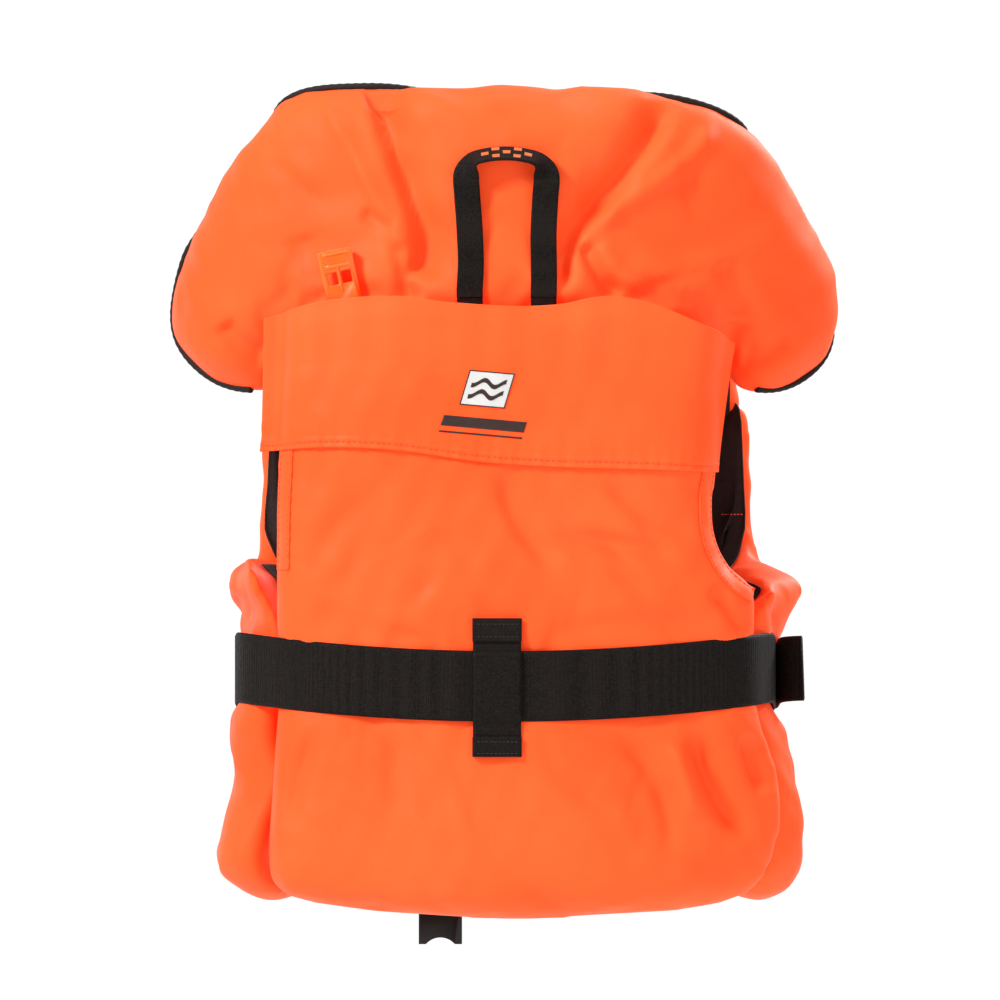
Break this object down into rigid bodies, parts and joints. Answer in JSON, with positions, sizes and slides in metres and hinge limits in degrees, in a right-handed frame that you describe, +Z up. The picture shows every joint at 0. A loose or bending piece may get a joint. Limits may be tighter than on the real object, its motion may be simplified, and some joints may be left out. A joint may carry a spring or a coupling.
{
  "type": "life jacket",
  "caption": "Child's foam life jacket with a large head-support collar, front zip, buckled waist belt, lifting loop, whistle and crotch-strap buckle.",
  "frame": {"origin": "centre of the torso opening at the back panel's hem", "axes": "+Z up the wearer's body, +Y to the wearer's back, -Y to the zip side, +X to the wearer's left"},
  "size_m": [0.383, 0.2305, 0.5004],
  "materials": {
    "cover_cloth": "matte",
    "foam": "matte",
    "lining_cloth": "matte",
    "webbing": "satin",
    "piping": "matte",
    "badge_print": "satin",
    "reflective_tape": "satin",
    "zip_tape": "matte",
    "zip_plastic": "satin",
    "zip_metal": "satin",
    "whistle_plastic": "satin",
    "buckle_plastic": "satin"
  },
  "bodies": {
    "jacket": {"back_cover": "cover_cloth", "back_foam": "foam", "back_lining": "lining_cloth", "back_yoke": "cover_cloth", "yoke_badge": "badge_print", "left_armhole_facing": "cover_cloth", "left_front_cover": "cover_cloth", "left_front_foam": "foam", "left_front_lining": "lining_cloth", "left_shoulder": "cover_cloth", "left_reflector": "reflective_tape", "right_armhole_facing": "cover_cloth", "right_front_cover": "cover_cloth", "right_front_foam": "foam", "right_front_lining": "lining_cloth", "right_shoulder": "cover_cloth", "right_reflector": "reflective_tape", "zip_tape_left": "zip_tape", "zip_teeth_left": "zip_plastic", "zip_tape_right": "zip_tape", "zip_teeth_right": "zip_plastic", "zip_retainer": "zip_plastic", "zip_stops": "zip_plastic", "waist_belt": "webbing", "belt_tail": "webbing", "back_belt_loop": "webbing", "belt_socket": "buckle_plastic"},
    "collar": {"collar_cover": "cover_cloth", "collar_foam_centre": "foam", "collar_foam_left": "foam", "collar_foam_right": "foam", "collar_piping": "piping"},
    "lifting_loop": {"lifting_loop": "webbing"},
    "whistle": {"whistle": "whistle_plastic"},
    "zip_slider": {"zip_slider": "zip_metal"},
    "zip_pull": {"zip_pull": "zip_metal"},
    "belt_plug": {"belt_plug": "buckle_plastic", "belt_end": "webbing"},
    "belt_arm_upper": {"belt_arm_upper": "buckle_plastic"},
    "belt_arm_lower": {"belt_arm_lower": "buckle_plastic"},
    "crotch_buckle": {"crotch_socket": "buckle_plastic", "crotch_tab": "webbing"}
  },
  "joints": [
    {"name": "collar_fold", "type": "hinge", "parent": "jacket", "child": "collar", "pos_m": [0, 0.095, 0.361], "axis": [-1, 0, 0], "range_deg": [0, 30]},
    {"name": "loop_swing", "type": "hinge", "parent": "collar", "child": "lifting_loop", "pos_m": [0, 0.099, 0.364], "axis": [-1, 0, 0], "range_deg": [0, 50]},
    {"name": "whistle_pull", "type": "slide", "parent": "collar", "child": "whistle", "axis": [0.2079, 0, 0.9781], "range_m": [0, 0.025]},
    {"name": "zip_slide", "type": "slide", "parent": "jacket", "child": "zip_slider", "axis": [0, 0, -1], "range_m": [0, 0.075]},
    {"name": "zip_pull_swing", "type": "hinge", "parent": "zip_slider", "child": "zip_pull", "pos_m": [0, -0.1126, 0.2802], "axis": [-1, 0, 0], "range_deg": [0, 100]},
    {"name": "belt_release", "type": "slide", "parent": "jacket", "child": "belt_plug", "axis": [-1, 0, 0], "range_m": [0, 0.03]},
    {"name": "upper_arm_squeeze", "type": "hinge", "parent": "belt_plug", "child": "belt_arm_upper", "pos_m": [0.0045, -0.1147, 0.1565], "axis": [0, 1, 0], "range_deg": [0, 6], "stiffness_Nm_per_rad": 0.3},
    {"name": "lower_arm_squeeze", "type": "hinge", "parent": "belt_plug", "child": "belt_arm_lower", "pos_m": [0.0045, -0.1147, 0.1255], "axis": [0, -1, 0], "range_deg": [0, 6], "stiffness_Nm_per_rad": 0.3},
    {"name": "crotch_buckle_swing", "type": "hinge", "parent": "jacket", "child": "crotch_buckle", "pos_m": [0.038, -0.085, 0.0196], "axis": [1, 0, 0], "range_deg": [-40, 40]}
  ],
  "couplings": [
    {"joint": "lower_arm_squeeze", "follows": "upper_arm_squeeze", "ratio": 1}
  ]
}
